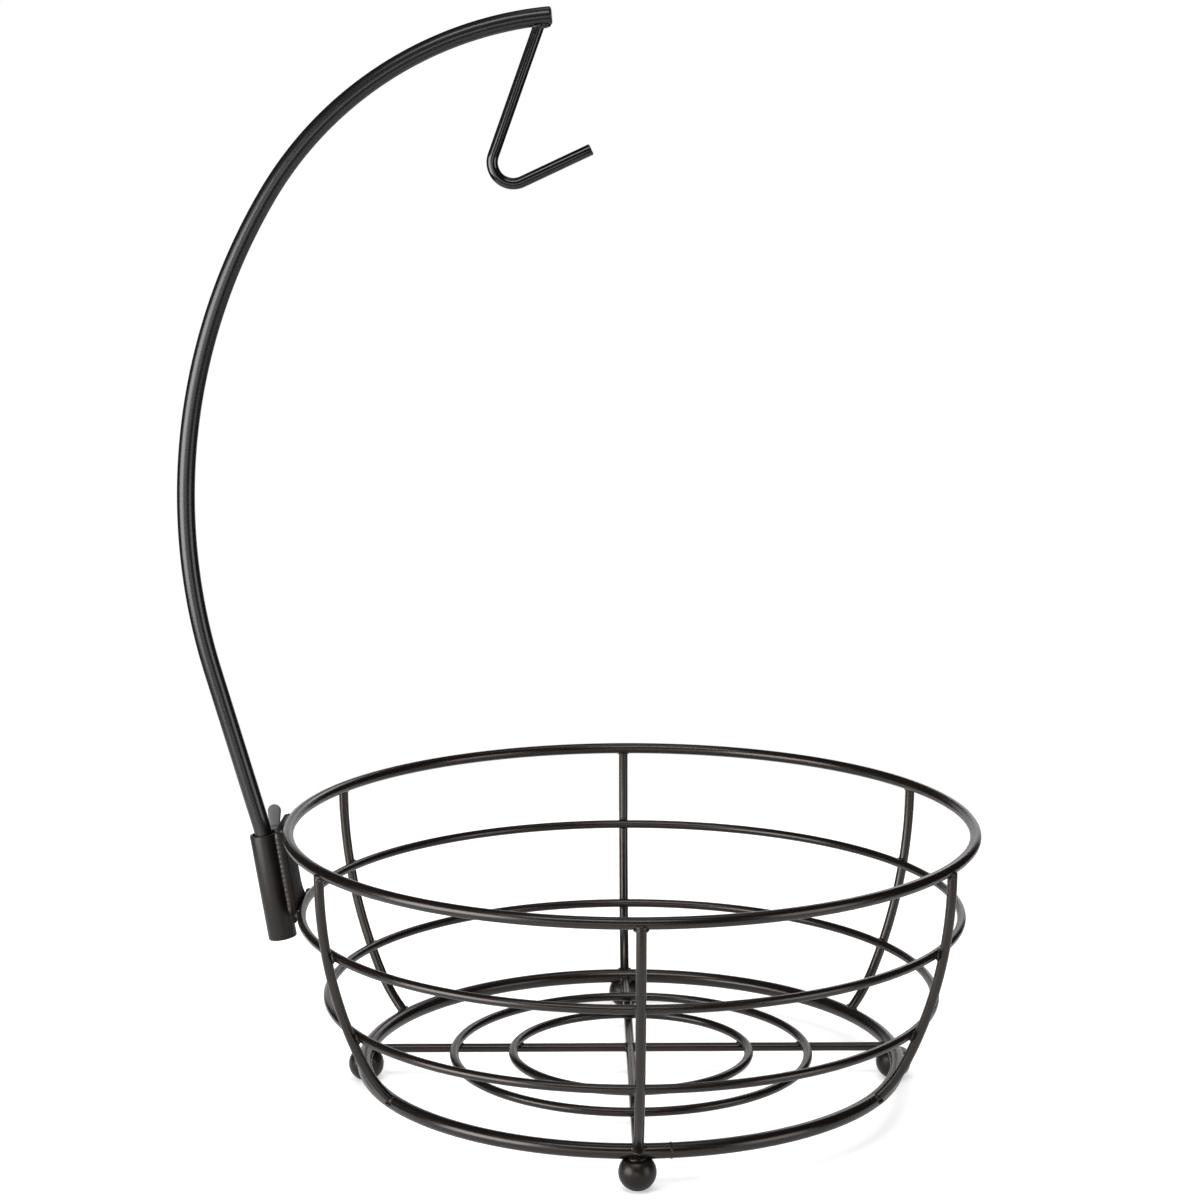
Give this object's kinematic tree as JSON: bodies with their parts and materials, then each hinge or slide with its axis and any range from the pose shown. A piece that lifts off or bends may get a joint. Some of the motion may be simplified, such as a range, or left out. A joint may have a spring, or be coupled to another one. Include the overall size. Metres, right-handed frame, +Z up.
{
  "type": "wire fruit basket with hanger",
  "caption": "Round wire fruit basket on ball feet, with a removable arched pole that carries a hook for hanging bunches and a clamp screw at its sleeve.",
  "frame": {"origin": "on the axis of the basket, at table level", "axes": "+Z up, -Y towards the front of the basket, +X to the right, hanger pole on the left"},
  "size_m": [0.3135, 0.276, 0.4261],
  "materials": {
    "basket_coat": "satin black powder coat over steel wire, slightly warm",
    "pole_coat": "satin black powder coat over a bent steel rod",
    "hook_coat": "glossy black coat over steel wire",
    "screw_finish": "dark grey coating on a cast wing screw"
  },
  "bodies": {
    "basket": {"rim_ring": "basket_coat", "upper_hoop": "basket_coat", "lower_hoop": "basket_coat", "base_ring": "basket_coat", "floor_ring_large": "basket_coat", "floor_ring_small": "basket_coat", "floor_bar": "basket_coat", "floor_spoke_right": "basket_coat", "floor_spoke_left": "basket_coat", "rib_front": "basket_coat", "rib_front_right": "basket_coat", "rib_back_right": "basket_coat", "rib_back": "basket_coat", "rib_back_left": "basket_coat", "rib_front_left": "basket_coat", "foot_front": "basket_coat", "foot_right": "basket_coat", "foot_back": "basket_coat", "foot_left": "basket_coat", "bracket_plate": "basket_coat", "pole_sleeve": "basket_coat", "clamp_nut": "basket_coat"},
    "hanger": {"hanger_pole": "pole_coat", "hanger_hook": "hook_coat"},
    "clamp_screw": {"wing_screw": "screw_finish"}
  },
  "joints": [
    {"name": "pole_lift", "type": "slide", "parent": "basket", "child": "hanger", "axis": [-0.1586, 0.0064, 0.9873], "range_m": [0, 0.035]},
    {"name": "screw_turn", "type": "hinge", "parent": "basket", "child": "clamp_screw", "pos_m": [-0.14456, 0.00581, 0.09859], "axis": [0.0401, 0.9992, 0], "range_deg": [0, 360]}
  ]
}
